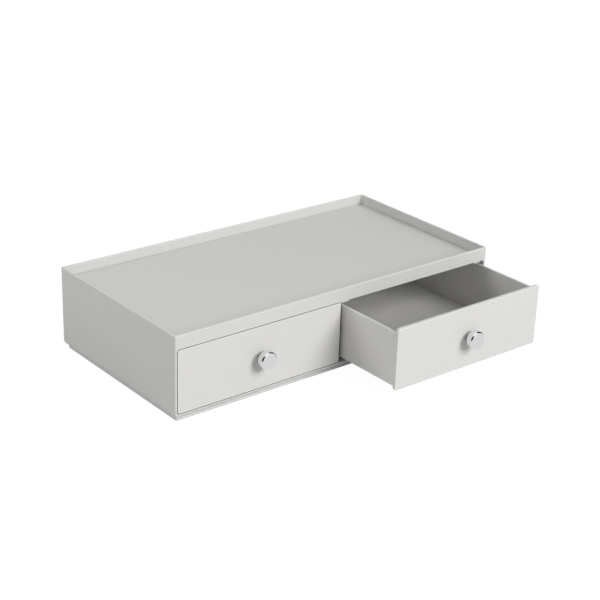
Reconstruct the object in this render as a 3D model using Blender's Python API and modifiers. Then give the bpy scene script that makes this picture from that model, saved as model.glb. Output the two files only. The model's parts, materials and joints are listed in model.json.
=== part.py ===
"""Stackable desk organizer: a case with a lipped tray top over two drawers side by side.

Lengths are in metres. +Z is up and the drawers pull out towards -Y.
The case is built round its own middle, and a parent empty moves the whole organizer
so that the world's origin is the middle of its footprint as it stands.
"""
import math

import bmesh
import bpy
from mathutils import Matrix, Vector

# Case, outside and walls
CASE_WIDTH = 0.333
CASE_DEPTH = 0.170
WALL = 0.0020
CORNER_RADIUS = 0.0014
BASE_EDGE_RADIUS = 0.0050
RIM_EDGE_RADIUS = 0.0008

# Case heights, from the table up
FOOT_PROUD = 0.0005
PLINTH_HEIGHT = 0.0033
SILL_HEIGHT = 0.0036
BAY_HEIGHT = 0.0558
ROOF_THICKNESS = 0.0029
LIP_HEIGHT = 0.0090

# Tray top
LIP_DRAFT = 0.0008
LIP_CORNER_RADIUS = 0.0018
LIP_FLOOR_RADIUS = 0.0005

# Plinth ring under the case, and the blocks in its corners
PLINTH_INSET = 0.0031
PLINTH_EDGE_RADIUS = 0.001
PLINTH_WALL = 0.0024
FLOOR_SKIN = 0.0030
FOOT_BLOCK = 0.0178

# Bays: opening, divider, ribs and roof lugs
OPENING_RADIUS = 0.0028
DIVIDER_THICKNESS = 0.0024
GUIDE_HEIGHT = 0.008
RIB_SETBACK = 0.005
RUNNER_WIDTH = 0.005
LUG_WIDTH = 0.008
LUG_LENGTH = 0.003
LUG_DROP = 0.0030

# Drawer front
FRONT_THICKNESS = 0.003
FRONT_GAP = 0.0006
FRONT_EDGE_RADIUS = 0.0005

# Drawer tray
TRAY_SIDE_INSET = 0.0005
TRAY_BOTTOM_INSET = 0.0031
TRAY_TOP_INSET = 0.0038
TRAY_WALL = 0.002
TRAY_FLOOR = 0.002
TRAY_REAR_GAP = 0.0014
TRAY_CORNER_RADIUS = 0.0032
TRAY_INNER_RADIUS = 0.0022
TRAY_FLOOR_RADIUS = 0.0012
NIB_HEIGHT = 0.0028
NIB_INSET = 0.0008
NIB_LENGTH = 0.006
NIB_FROM_REAR = 0.022

# Knob
KNOB_DIAMETER = 0.016
KNOB_HEAD_LENGTH = 0.006
KNOB_NECK_DIAMETER = 0.008
KNOB_NECK_LENGTH = 0.0045
KNOB_EDGE_RADIUS = 0.0009
KNOB_REAR_CHAMFER = 0.0004

# Screw of the knob
SCREW_DIAMETER = 0.0038
SCREW_HEAD_DIAMETER = 0.0075
SCREW_HEAD_HEIGHT = 0.0024
SCREW_HEAD_ROUND = 0.0009
SCREW_REACH = 0.0065
SCREW_CLEARANCE = 0.0003
SLOT_LENGTH = 0.0042
SLOT_WIDTH = 0.0009
SLOT_DEPTH = 0.0013

# Anti-slip pads
FOOT_DIAMETER = 0.010
FOOT_THICKNESS = 0.0015
FOOT_EDGE_CHAMFER = 0.0002

# How far each drawer stands open
LEFT_OPENING = 0.0
RIGHT_OPENING = 0.0674

# Fits and working values
SEAT_GAP = 0.0003
EMBED = 0.0006
OVERRUN = 0.004
TOLERANCE = 1e-6
MERGE = 1e-5
LEAST_RADIUS = 1e-4
CORNER_SEGMENTS = 5
EDGE_SEGMENTS = 3
KNOB_STEPS = 40
ROUND_STEPS = 28

# Heights that follow
PLINTH_TOP_Z = FOOT_PROUD + PLINTH_HEIGHT
BAY_FLOOR_Z = PLINTH_TOP_Z + SILL_HEIGHT
BAY_ROOF_Z = BAY_FLOOR_Z + BAY_HEIGHT
TRAY_TOP_Z = BAY_ROOF_Z + ROOF_THICKNESS
RIM_Z = TRAY_TOP_Z + LIP_HEIGHT

# Places across the width, for the drawer on the +X side
BAY_HALF_WIDTH = CASE_WIDTH / 2 - WALL
FRONT_INNER_X = DIVIDER_THICKNESS / 2 + SEAT_GAP
FRONT_OUTER_X = BAY_HALF_WIDTH - FRONT_GAP
FRONT_MIDDLE_X = (FRONT_INNER_X + FRONT_OUTER_X) / 2
TRAY_INNER_X = FRONT_INNER_X + TRAY_SIDE_INSET
TRAY_OUTER_X = FRONT_OUTER_X - TRAY_SIDE_INSET

# Places from front to back, with the drawer closed
CASE_FRONT_Y = -CASE_DEPTH / 2
CASE_BACK_Y = CASE_DEPTH / 2
FRONT_BACK_Y = CASE_FRONT_Y + FRONT_THICKNESS
BAY_STOP_Y = FRONT_BACK_Y + SEAT_GAP
BAY_BACK_Y = CASE_BACK_Y - WALL
TRAY_REAR_Y = BAY_BACK_Y - TRAY_REAR_GAP

# Heights of the drawer
FRONT_LOW_Z = BAY_FLOOR_Z + FRONT_GAP
FRONT_HIGH_Z = BAY_ROOF_Z - FRONT_GAP
TRAY_LOW_Z = FRONT_LOW_Z + TRAY_BOTTOM_INSET
TRAY_HIGH_Z = FRONT_HIGH_Z - TRAY_TOP_INSET
KNOB_Z = (FRONT_LOW_Z + FRONT_HIGH_Z) / 2

# What stands out in front of the case, which sets the middle of the footprint
KNOB_REACH = SEAT_GAP + KNOB_NECK_LENGTH + KNOB_HEAD_LENGTH
FRONT_REACH = max(LEFT_OPENING, RIGHT_OPENING) + KNOB_REACH
FOOTPRINT_Y = FRONT_REACH / 2


def clear_scene():
    for thing in list(bpy.data.objects):
        bpy.data.objects.remove(thing, do_unlink=True)


def new_collection(name):
    collection = bpy.data.collections.new(name)
    bpy.context.scene.collection.children.link(collection)
    return collection


def new_object(name, mesh, collection, parent):
    thing = bpy.data.objects.new(name, mesh)
    collection.objects.link(thing)
    thing.parent = parent
    return thing


def new_empty(name, collection, parent, location):
    empty = new_object(name, None, collection, parent)
    empty.location = location
    return empty


def principled(name, colour, roughness, metallic):
    material = bpy.data.materials.new(name)
    material.use_nodes = True
    shader = material.node_tree.nodes["Principled BSDF"]
    shader.inputs["Base Color"].default_value = (*colour, 1.0)
    shader.inputs["Roughness"].default_value = roughness
    shader.inputs["Metallic"].default_value = metallic
    material.diffuse_color = (*colour, 1.0)
    return material


def edges_along(bm, axis):
    """Edges of a plain box that run along the axis."""
    return [edge for edge in bm.edges
            if abs(edge.verts[0].co[axis] - edge.verts[1].co[axis]) > TOLERANCE]


def edges_on(bm, axis, place):
    """Edges that lie on the plane where the axis has this value."""
    return [edge for edge in bm.edges
            if all(abs(vertex.co[axis] - place) < TOLERANCE for vertex in edge.verts)]


def round_edges(bm, edges, radius, segments):
    bmesh.ops.bevel(bm, geom=edges, offset=radius, offset_type="OFFSET", segments=segments,
                    profile=0.5, affect="EDGES", clamp_overlap=True)


def box_bmesh(low, high):
    low = Vector(low)
    high = Vector(high)
    bm = bmesh.new()
    size = Matrix.Diagonal((*(high - low), 1.0))
    bmesh.ops.create_cube(bm, size=1.0, matrix=Matrix.Translation((low + high) / 2) @ size)
    return bm


def mesh_from(bm, name):
    mesh = bpy.data.meshes.new(name)
    bm.to_mesh(mesh)
    bm.free()
    return mesh


class Tools:
    """Makes the hidden solids that cut a part or are joined to it."""

    def __init__(self, collection, parent):
        self.collection = collection
        self.parent = parent

    def hidden(self, name, mesh):
        tool = new_object(name, mesh, self.collection, self.parent)
        tool.hide_render = True
        tool.display_type = "WIRE"
        return tool

    def box(self, name, low, high):
        return self.hidden(name, mesh_from(box_bmesh(low, high), name))

    def rounded(self, name, low, high, axis, radius):
        """A box whose four edges along the axis are rounded."""
        bm = box_bmesh(low, high)
        round_edges(bm, edges_along(bm, axis), radius, CORNER_SEGMENTS)
        return self.hidden(name, mesh_from(bm, name))

    def cylinder(self, name, radius, depth, matrix, steps):
        bm = bmesh.new()
        bmesh.ops.create_cone(bm, cap_ends=True, segments=steps, radius1=radius,
                              radius2=radius, depth=depth, matrix=matrix)
        return self.hidden(name, mesh_from(bm, name))


def combine(part, tool, operation):
    modifier = part.modifiers.new(tool.name, "BOOLEAN")
    modifier.operation = operation
    modifier.solver = "EXACT"
    modifier.object = tool


def cut(part, tool):
    combine(part, tool, "DIFFERENCE")


def join(part, tool):
    combine(part, tool, "UNION")


def turned(name, profile, steps, collection, parent):
    """A solid of revolution about its own Z axis, from a profile that runs down its outer side."""
    bm = bmesh.new()
    points = [bm.verts.new((radius, 0.0, height)) for radius, height in profile]
    for start, end in zip(points, points[1:]):
        bm.edges.new((start, end))
    part = new_object(name, mesh_from(bm, name), collection, parent)
    screw = part.modifiers.new("turn", "SCREW")
    screw.axis = "Z"
    screw.steps = steps
    screw.render_steps = steps
    screw.use_merge_vertices = True
    screw.merge_threshold = MERGE
    screw.use_smooth_shade = True
    return part


def arc(centre_radius, centre_height, radius, start, end, segments):
    """Points of a quarter round in a turned profile, angles in quarter turns from the radius axis."""
    angles = [math.pi / 2 * (start + (end - start) * step / segments) for step in range(segments + 1)]
    return [(centre_radius + radius * math.cos(angle), centre_height + radius * math.sin(angle))
            for angle in angles]


def case_ring(bm, inset, height, radius):
    """Vertices round the case at one height, in from its outside by the inset, with rounded corners."""
    ring = []
    for quarter, (side_x, side_y) in enumerate(((1, 1), (-1, 1), (-1, -1), (1, -1))):
        centre_x = side_x * (CASE_WIDTH / 2 - inset - radius)
        centre_y = side_y * (CASE_DEPTH / 2 - inset - radius)
        corner = arc(centre_x, centre_y, radius, quarter, quarter + 1, CORNER_SEGMENTS)
        ring += [bm.verts.new((x, y, height)) for x, y in corner]
    return ring


def case_outer_mesh():
    """The case's outside: the plinth, the large round under the wall, the wall and the rim."""
    plinth = arc(PLINTH_INSET + PLINTH_EDGE_RADIUS, FOOT_PROUD + PLINTH_EDGE_RADIUS, PLINTH_EDGE_RADIUS,
                 -1, -2, EDGE_SEGMENTS)
    step = min(PLINTH_INSET, BASE_EDGE_RADIUS)
    lean = math.asin(1 - step / BASE_EDGE_RADIUS)
    base_z = PLINTH_TOP_Z + BASE_EDGE_RADIUS * math.cos(lean)
    base = arc(BASE_EDGE_RADIUS, base_z, BASE_EDGE_RADIUS, -1 - lean / (math.pi / 2), -2, CORNER_SEGMENTS)
    rim = arc(RIM_EDGE_RADIUS, RIM_Z - RIM_EDGE_RADIUS, RIM_EDGE_RADIUS, 2, 1, EDGE_SEGMENTS)
    bm = bmesh.new()
    rings = [case_ring(bm, inset, height, CORNER_RADIUS)
             for inset, height in plinth + [(PLINTH_INSET, PLINTH_TOP_Z)] + base]
    rings += [case_ring(bm, inset, height, max(CORNER_RADIUS - inset, LEAST_RADIUS)) for inset, height in rim]
    for lower, upper in zip(rings, rings[1:]):
        for index, vertex in enumerate(lower):
            bm.faces.new((lower[index - 1], vertex, upper[index], upper[index - 1]))
    bm.faces.new(rings[0][::-1])
    bm.faces.new(rings[-1])
    bmesh.ops.remove_doubles(bm, verts=bm.verts, dist=MERGE)
    bmesh.ops.recalc_face_normals(bm, faces=bm.faces)
    return mesh_from(bm, "case_shell")


def tray_top_cutter(tools):
    """The hollow of the tray top, a little wider at the rim than at its floor."""
    half_width = CASE_WIDTH / 2 - WALL
    half_depth = CASE_DEPTH / 2 - WALL
    bm = box_bmesh((-half_width, -half_depth, TRAY_TOP_Z), (half_width, half_depth, RIM_Z + OVERRUN))
    for vertex in bm.verts:
        if vertex.co.z < RIM_Z:
            vertex.co.x -= math.copysign(LIP_DRAFT, vertex.co.x)
            vertex.co.y -= math.copysign(LIP_DRAFT, vertex.co.y)
    round_edges(bm, edges_along(bm, 2), LIP_CORNER_RADIUS, CORNER_SEGMENTS)
    round_edges(bm, edges_on(bm, 2, TRAY_TOP_Z), LIP_FLOOR_RADIUS, EDGE_SEGMENTS)
    return tools.hidden("tray_top_cutter", mesh_from(bm, "tray_top_cutter"))


def hollow_plinth(case, tools):
    """Leaves the plinth as a ring with a block in each corner."""
    outer_x = CASE_WIDTH / 2 - PLINTH_INSET
    outer_y = CASE_DEPTH / 2 - PLINTH_INSET
    inner_x = outer_x - PLINTH_WALL
    inner_y = outer_y - PLINTH_WALL
    block_x = outer_x - FOOT_BLOCK
    block_y = outer_y - FOOT_BLOCK
    low_z = FOOT_PROUD - OVERRUN
    high_z = BAY_FLOOR_Z - FLOOR_SKIN
    cut(case, tools.box("hollow_across", (-inner_x, -block_y, low_z), (inner_x, block_y, high_z)))
    cut(case, tools.box("hollow_along", (-block_x, -inner_y, low_z), (block_x, inner_y, high_z)))


def foot_places():
    """Names and places of the four pads, in the middle of the plinth's corner blocks."""
    x = CASE_WIDTH / 2 - PLINTH_INSET - FOOT_BLOCK / 2
    y = CASE_DEPTH / 2 - PLINTH_INSET - FOOT_BLOCK / 2
    return [("foot_front_left", -x, -y), ("foot_front_right", x, -y),
            ("foot_rear_left", -x, y), ("foot_rear_right", x, y)]


def add_foot_pockets(case, tools):
    depth = FOOT_THICKNESS - FOOT_PROUD + SEAT_GAP
    height = depth + OVERRUN
    middle_z = FOOT_PROUD + depth - height / 2
    for name, x, y in foot_places():
        cut(case, tools.cylinder(name + "_pocket", FOOT_DIAMETER / 2 + SEAT_GAP, height,
                                 Matrix.Translation((x, y, middle_z)), ROUND_STEPS))


def add_bays(case, tools):
    """One opening across the front, with the divider set back behind the drawer fronts."""
    cut(case, tools.rounded("bay_cutter", (-BAY_HALF_WIDTH, CASE_FRONT_Y - OVERRUN, BAY_FLOOR_Z),
                            (BAY_HALF_WIDTH, BAY_BACK_Y, BAY_ROOF_Z), 1, OPENING_RADIUS))
    join(case, tools.box("divider", (-DIVIDER_THICKNESS / 2, BAY_STOP_Y, BAY_FLOOR_Z - EMBED),
                         (DIVIDER_THICKNESS / 2, BAY_BACK_Y + EMBED, BAY_ROOF_Z + EMBED)))


def across(side, near, far):
    """The lower and the upper of two places that are given for the +X side."""
    return min(side * near, side * far), max(side * near, side * far)


def add_ribs(case, tools, side_name, side):
    """Guides beside each tray and runners under it, set back from the drawer front."""
    runner_z = TRAY_LOW_Z - SEAT_GAP
    guide_z = BAY_FLOOR_Z + GUIDE_HEIGHT
    low_y = BAY_STOP_Y + RIB_SETBACK
    spans = [
        ("outer_guide", TRAY_OUTER_X + SEAT_GAP, BAY_HALF_WIDTH + EMBED, guide_z),
        ("inner_guide", 0.0, TRAY_INNER_X - SEAT_GAP, guide_z),
        ("outer_runner", TRAY_OUTER_X - RUNNER_WIDTH, BAY_HALF_WIDTH + EMBED, runner_z),
        ("inner_runner", 0.0, TRAY_INNER_X + RUNNER_WIDTH, runner_z),
    ]
    for name, near, far, high_z in spans:
        low_x, high_x = across(side, near, far)
        join(case, tools.box(side_name + "_" + name, (low_x, low_y, BAY_FLOOR_Z - EMBED),
                             (high_x, BAY_BACK_Y + EMBED, high_z)))


def add_roof_lugs(case, tools, side_name, side):
    """Lugs under the roof, just inside the opening, that the tray's nibs meet when it is pulled out."""
    for name, near in (("inner_lug", TRAY_INNER_X), ("outer_lug", TRAY_OUTER_X - LUG_WIDTH)):
        low_x, high_x = across(side, near, near + LUG_WIDTH)
        join(case, tools.box(side_name + "_" + name, (low_x, BAY_STOP_Y, BAY_ROOF_Z - LUG_DROP),
                             (high_x, BAY_STOP_Y + LUG_LENGTH, BAY_ROOF_Z + EMBED)))


def build_case(parts, tools, parent, material):
    case = new_object("case_shell", case_outer_mesh(), parts, parent)
    case.data.materials.append(material)
    hollow_plinth(case, tools)
    add_foot_pockets(case, tools)
    cut(case, tray_top_cutter(tools))
    add_bays(case, tools)
    for side_name, side in (("left", -1), ("right", 1)):
        add_ribs(case, tools, side_name, side)
        add_roof_lugs(case, tools, side_name, side)
    return case


def front_mesh(name, side):
    low_x, high_x = across(side, FRONT_INNER_X, FRONT_OUTER_X)
    bm = box_bmesh((low_x, CASE_FRONT_Y, FRONT_LOW_Z), (high_x, FRONT_BACK_Y, FRONT_HIGH_Z))
    round_edges(bm, edges_along(bm, 1), OPENING_RADIUS - FRONT_GAP, CORNER_SEGMENTS)
    round_edges(bm, edges_on(bm, 1, CASE_FRONT_Y), FRONT_EDGE_RADIUS, EDGE_SEGMENTS)
    return mesh_from(bm, name)


def tray_tool(tools, name, side):
    low_x, high_x = across(side, TRAY_INNER_X, TRAY_OUTER_X)
    bm = box_bmesh((low_x, FRONT_BACK_Y - EMBED, TRAY_LOW_Z), (high_x, TRAY_REAR_Y, TRAY_HIGH_Z))
    rear = [edge for edge in edges_along(bm, 2) if edge.verts[0].co.y > 0]
    round_edges(bm, rear, TRAY_CORNER_RADIUS, CORNER_SEGMENTS)
    return tools.hidden(name, mesh_from(bm, name))


def tray_hollow_tool(tools, name, side):
    low_x, high_x = across(side, TRAY_INNER_X + TRAY_WALL, TRAY_OUTER_X - TRAY_WALL)
    low_z = TRAY_LOW_Z + TRAY_FLOOR
    bm = box_bmesh((low_x, FRONT_BACK_Y, low_z),
                   (high_x, TRAY_REAR_Y - TRAY_WALL, TRAY_HIGH_Z + OVERRUN))
    round_edges(bm, edges_along(bm, 2), TRAY_INNER_RADIUS, CORNER_SEGMENTS)
    round_edges(bm, edges_on(bm, 2, low_z), TRAY_FLOOR_RADIUS, EDGE_SEGMENTS)
    return tools.hidden(name, mesh_from(bm, name))


def add_nibs(drawer, tools, name, side):
    """Stop nibs on top of both tray walls, some way in front of the tray's rear."""
    high_y = TRAY_REAR_Y - NIB_FROM_REAR
    for place, near, far in (("inner_nib", TRAY_INNER_X + NIB_INSET, TRAY_INNER_X + TRAY_WALL),
                             ("outer_nib", TRAY_OUTER_X - TRAY_WALL, TRAY_OUTER_X - NIB_INSET)):
        low_x, high_x = across(side, near, far)
        join(drawer, tools.box(name + "_" + place, (low_x, high_y - NIB_LENGTH, TRAY_HIGH_Z - EMBED),
                               (high_x, high_y, TRAY_HIGH_Z + NIB_HEIGHT)))


def build_drawer(name, side, parts, tools, parent, material):
    drawer = new_object(name, front_mesh(name, side), parts, parent)
    drawer.data.materials.append(material)
    join(drawer, tray_tool(tools, name + "_tray", side))
    cut(drawer, tray_hollow_tool(tools, name + "_hollow", side))
    add_nibs(drawer, tools, name, side)
    along_y = Matrix.Rotation(math.pi / 2, 4, "X")
    middle = Matrix.Translation((side * FRONT_MIDDLE_X, (CASE_FRONT_Y + FRONT_BACK_Y) / 2, KNOB_Z))
    cut(drawer, tools.cylinder(name + "_screw_hole", SCREW_DIAMETER / 2 + SCREW_CLEARANCE,
                               FRONT_THICKNESS + 2 * OVERRUN, middle @ along_y, ROUND_STEPS))
    return drawer


def knob_profile():
    """From the middle of the face, over the head and the neck, and up the threaded hole."""
    head = KNOB_DIAMETER / 2
    neck = KNOB_NECK_DIAMETER / 2
    bore = SCREW_DIAMETER / 2 + SCREW_CLEARANCE
    top = KNOB_NECK_LENGTH + KNOB_HEAD_LENGTH
    edge = arc(head - KNOB_EDGE_RADIUS, top - KNOB_EDGE_RADIUS, KNOB_EDGE_RADIUS, 1, 0, EDGE_SEGMENTS)
    return [(0.0, top), *edge,
            (head, KNOB_NECK_LENGTH + KNOB_REAR_CHAMFER), (head - KNOB_REAR_CHAMFER, KNOB_NECK_LENGTH),
            (neck, KNOB_NECK_LENGTH), (neck, 0.0), (bore, 0.0),
            (bore, SCREW_REACH + SCREW_CLEARANCE), (0.0, SCREW_REACH + SCREW_CLEARANCE)]


def screw_profile():
    """From the tip of the shank to the round edge of the head, with the head's seat at zero."""
    shank = SCREW_DIAMETER / 2
    head = SCREW_HEAD_DIAMETER / 2
    tip = SEAT_GAP + FRONT_THICKNESS + SEAT_GAP + SCREW_REACH
    edge = arc(head - SCREW_HEAD_ROUND, SCREW_HEAD_ROUND - SCREW_HEAD_HEIGHT, SCREW_HEAD_ROUND,
               0, -1, EDGE_SEGMENTS)
    return [(0.0, tip), (shank, tip), (shank, 0.0), (head, 0.0), *edge, (0.0, -SCREW_HEAD_HEIGHT)]


def build_knob(name, side, parts, parent, material):
    knob = turned(name, knob_profile(), KNOB_STEPS, parts, parent)
    knob.location = (side * FRONT_MIDDLE_X, CASE_FRONT_Y - SEAT_GAP, KNOB_Z)
    knob.rotation_euler = (math.pi / 2, 0.0, 0.0)
    knob.data.materials.append(material)
    return knob


def build_screw(name, side, parts, tools, parent, material):
    screw = turned(name, screw_profile(), ROUND_STEPS, parts, parent)
    screw.location = (side * FRONT_MIDDLE_X, FRONT_BACK_Y + SEAT_GAP, KNOB_Z)
    screw.rotation_euler = (math.pi / 2, 0.0, 0.0)
    screw.data.materials.append(material)
    low_y = screw.location.y + SCREW_HEAD_HEIGHT - SLOT_DEPTH
    high_y = screw.location.y + SCREW_HEAD_HEIGHT + OVERRUN
    for place, half_x, half_z in (("_slot_across", SLOT_LENGTH / 2, SLOT_WIDTH / 2),
                                  ("_slot_upright", SLOT_WIDTH / 2, SLOT_LENGTH / 2)):
        cut(screw, tools.box(name + place, (screw.location.x - half_x, low_y, KNOB_Z - half_z),
                             (screw.location.x + half_x, high_y, KNOB_Z + half_z)))
    return screw


def build_foot(name, x, y, parts, parent, material):
    radius = FOOT_DIAMETER / 2
    profile = [(0.0, FOOT_THICKNESS), (radius, FOOT_THICKNESS), (radius, FOOT_EDGE_CHAMFER),
               (radius - FOOT_EDGE_CHAMFER, 0.0), (0.0, 0.0)]
    foot = turned(name, profile, ROUND_STEPS, parts, parent)
    foot.location = (x, y, 0.0)
    foot.data.materials.append(material)
    return foot


def main():
    clear_scene()
    parts = new_collection("desk_organizer")
    tool_collection = new_collection("cutters")
    case_plastic = principled("case_plastic", (0.68, 0.68, 0.67), 0.42, 0.0)
    drawer_plastic = principled("drawer_plastic", (0.70, 0.70, 0.69), 0.42, 0.0)
    chrome = principled("chrome", (0.78, 0.78, 0.79), 0.12, 1.0)
    zinc = principled("zinc_plated_steel", (0.62, 0.63, 0.64), 0.32, 1.0)
    pad = principled("pad_rubber", (0.52, 0.52, 0.51), 0.75, 0.0)

    organizer = new_empty("organizer", parts, None, (0.0, FOOTPRINT_Y, 0.0))
    build_case(parts, Tools(tool_collection, organizer), organizer, case_plastic)
    for name, x, y in foot_places():
        build_foot(name, x, y, parts, organizer, pad)

    for side_name, side, opening in (("left", -1, LEFT_OPENING), ("right", 1, RIGHT_OPENING)):
        slide = new_empty(side_name + "_slide", parts, organizer, (0.0, -opening, 0.0))
        tools = Tools(tool_collection, slide)
        build_drawer(side_name + "_drawer", side, parts, tools, slide, drawer_plastic)
        build_knob(side_name + "_knob", side, parts, slide, chrome)
        build_screw(side_name + "_knob_screw", side, parts, tools, slide, zinc)


main()
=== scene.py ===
"""Looks of a stackable desk organizer: a lipped tray top over two drawers, the right one pulled out."""
import json
import math

import bmesh
import bpy
from mathutils import Matrix, Vector

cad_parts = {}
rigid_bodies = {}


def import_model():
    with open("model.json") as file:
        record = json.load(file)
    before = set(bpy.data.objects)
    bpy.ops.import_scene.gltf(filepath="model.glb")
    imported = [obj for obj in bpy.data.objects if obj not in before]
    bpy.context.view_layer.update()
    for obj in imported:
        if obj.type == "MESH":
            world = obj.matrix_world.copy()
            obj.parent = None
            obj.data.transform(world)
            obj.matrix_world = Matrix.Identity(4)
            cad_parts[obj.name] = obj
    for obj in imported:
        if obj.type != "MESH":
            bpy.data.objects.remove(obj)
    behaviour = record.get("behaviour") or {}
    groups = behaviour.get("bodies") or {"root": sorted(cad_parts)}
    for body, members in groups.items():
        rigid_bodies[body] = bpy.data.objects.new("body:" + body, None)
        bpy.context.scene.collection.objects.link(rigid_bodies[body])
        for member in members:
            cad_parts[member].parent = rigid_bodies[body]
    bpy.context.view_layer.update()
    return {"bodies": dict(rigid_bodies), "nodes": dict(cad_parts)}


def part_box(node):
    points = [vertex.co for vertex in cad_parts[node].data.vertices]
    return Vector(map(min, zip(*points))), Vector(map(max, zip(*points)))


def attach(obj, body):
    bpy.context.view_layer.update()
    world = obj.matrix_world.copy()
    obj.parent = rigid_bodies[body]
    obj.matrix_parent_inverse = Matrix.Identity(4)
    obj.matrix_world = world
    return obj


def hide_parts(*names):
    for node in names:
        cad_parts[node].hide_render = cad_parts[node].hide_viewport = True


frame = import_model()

MM = 0.001

# Case, from the table up and from the outside in
PLINTH_INSET = 3.1 * MM
PLINTH_EDGE = 1.0 * MM
PLINTH_WALL = 2.4 * MM
PLINTH_TOP = 3.8 * MM
CASE_RADIUS = 1.4 * MM
BASE_EDGE = 5.0 * MM
RIM_OUTER_EDGE = 0.8 * MM
RIM_INNER_EDGE = 0.4 * MM
WALL = 2.0 * MM
LIP_DRAFT = 0.8 * MM
LIP_RADIUS = 1.8 * MM
LIP_FILLET = 0.5 * MM
LIP_FLOOR_RADIUS = 0.5 * MM
TRAY_TOP = 66.1 * MM

# Bays behind the drawer fronts
BAY_FLOOR = 7.4 * MM
BAY_ROOF = 63.2 * MM
OPENING_RADIUS = 2.8 * MM
OPENING_EDGE = 0.4 * MM
FRONT_THICKNESS = 3.0 * MM
STOP_GAP = 0.3 * MM
DIVIDER_HALF = 1.2 * MM
GUIDE_TOP = 15.4 * MM
RUNNER_TOP = 10.8 * MM
GUIDE_GAP = 0.3 * MM
RUNNER_WIDTH = 5.0 * MM
RIB_EDGE = 0.2 * MM
RIB_SETBACK = 5.0 * MM
LUG_WIDTH = 8.0 * MM
LUG_LENGTH = 3.0 * MM
LUG_DROP = 3.0 * MM

# Hollow of the base and its corner blocks
HOLLOW_ROOF = 4.4 * MM
CORNER_BLOCK = 17.8 * MM
BLOCK_EDGE = 0.8 * MM
POCKET_RADIUS = 5.3 * MM
POCKET_TOP = 1.8 * MM

# Drawer front and tray
FRONT_RADIUS = 2.2 * MM
FRONT_EDGE = 0.5 * MM
FRONT_BACK_EDGE = 0.25 * MM
TRAY_SIDE_INSET = 0.5 * MM
TRAY_BOTTOM_INSET = 3.1 * MM
TRAY_TOP_INSET = 3.8 * MM
TRAY_WALL = 2.0 * MM
TRAY_FLOOR = 2.0 * MM
TRAY_RADIUS = 3.2 * MM
TRAY_INNER_RADIUS = 2.2 * MM
TRAY_LOW_EDGE = 0.7 * MM
TRAY_RIM_EDGE = 0.5 * MM
TRAY_FILLET = 1.2 * MM
NIB_LENGTH = 6.0 * MM
NIB_HEIGHT = 2.8 * MM
NIB_INSET = 0.8 * MM
NIB_FROM_REAR = 22.0 * MM
NIB_EDGE = 0.3 * MM
SCREW_HOLE_RADIUS = 2.2 * MM

# Turned pieces
KNOB = {
    "Head Diameter": 16.0 * MM,
    "Head Length": 6.0 * MM,
    "Neck Diameter": 8.0 * MM,
    "Neck Length": 4.5 * MM,
    "Edge Radius": 1.8 * MM,
    "Rear Radius": 0.4 * MM,
    "Bore Diameter": 4.4 * MM,
    "Bore Depth": 6.8 * MM,
}
SCREW = {
    "Head Diameter": 7.5 * MM,
    "Head Height": 2.4 * MM,
    "Head Round": 1.3 * MM,
    "Shank Diameter": 3.8 * MM,
    "Shank Length": 10.1 * MM,
    "Tip Chamfer": 0.4 * MM,
    "Slot Length": 4.2 * MM,
    "Slot Width": 0.9 * MM,
    "Slot Depth": 1.3 * MM,
}
PAD = {
    "Diameter": 10.0 * MM,
    "Thickness": 1.5 * MM,
    "Edge Round": 0.3 * MM,
}

# How far cutters reach out of a piece, and joined blocks into it, and the least radius of a block's corner
OVERRUN = 4.0 * MM
EMBED = 0.6 * MM
ROOF_EMBED = 1.2 * MM
LEAST_RADIUS = 0.12 * MM
# Steps of the rounds, by their size, and of the turned pieces and the round cutters
CORNER_STEPS = 10
ROUND_STEPS = 7
SMALL_STEPS = 4
TURN_STEPS = 96
CUTTER_STEPS = 48
# Points closer than this become one, and an edge sharper than this shows as an edge
MERGE = 1e-6
SHARP_ANGLE = math.radians(32)
# Turns a piece made about Z to lie along Y, with its top to the front
LAID_ALONG_Y = (math.pi / 2, 0.0, 0.0)

# Satin plastic: a scale per metre for each pattern, its shares of tone and roughness, and its depth
CASE_COLOUR = (0.684, 0.681, 0.665)
DRAWER_COLOUR = (0.712, 0.705, 0.688)
PLASTIC_ROUGHNESS = 0.42
CLOUD_SCALE = 9.0
CLOUD_TONE = 0.022
CLOUD_ROUGHNESS = 0.06
MOTTLE_SCALE = 240.0
MOTTLE_TONE = 0.02
MOTTLE_ROUGHNESS = 0.08
MOTTLE_DEPTH = 0.02 * MM
GRAIN_SCALE = 2400.0
GRAIN_TONE = 0.02
GRAIN_ROUGHNESS = 0.05
GRAIN_DEPTH = 0.012 * MM
# Long wipe marks, slightly glossier than the rest
WIPE_SCALE = (420.0, 70.0, 160.0)
WIPE_TURN = (0.0, 0.0, 0.6)
WIPE_STOPS = [(0.60, 0.0), (0.72, 1.0)]
WIPE_GLOSS = 0.03
# Painted shade, darkening the colour in the tight corners and gaps of the mouldings and between pieces:
# how far it reaches, and how much it darkens
CORNER_SHADE_REACH = 1.5 * MM
CORNER_SHADE = 0.7
# A painted highlight, lightening the colour along their outer edges, in the same way: how far it reaches,
# and how much it lightens
EDGE_HIGHLIGHT_REACH = 1.1 * MM
EDGE_HIGHLIGHT = 0.55
CORNER_SAMPLES = 8

# Chrome of the knobs, with a polishing haze, and faint rings whose phase is in radians per metre of radius
CHROME_COLOUR = (0.86, 0.86, 0.865)
CHROME_TONE = 0.03
CHROME_ROUGHNESS = 0.02
CHROME_HAZE = 0.03
HAZE_SCALE = 160.0
RING_PHASE = 30000.0
RING_DEPTH = 0.0006 * MM
RING_STRENGTH = 0.5
RING_WOBBLE = 3.0
WOBBLE_SCALE = 500.0

# Zinc of the screws
ZINC_COLOUR = (0.62, 0.63, 0.64)
ZINC_TONE = 0.10
ZINC_TONE_SCALE = 300.0
ZINC_ROUGHNESS = 0.26
CRYSTAL_SCALE = 1800.0
CRYSTAL_ROUGHNESS = 0.16
CRYSTAL_DEPTH = 0.01 * MM

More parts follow.
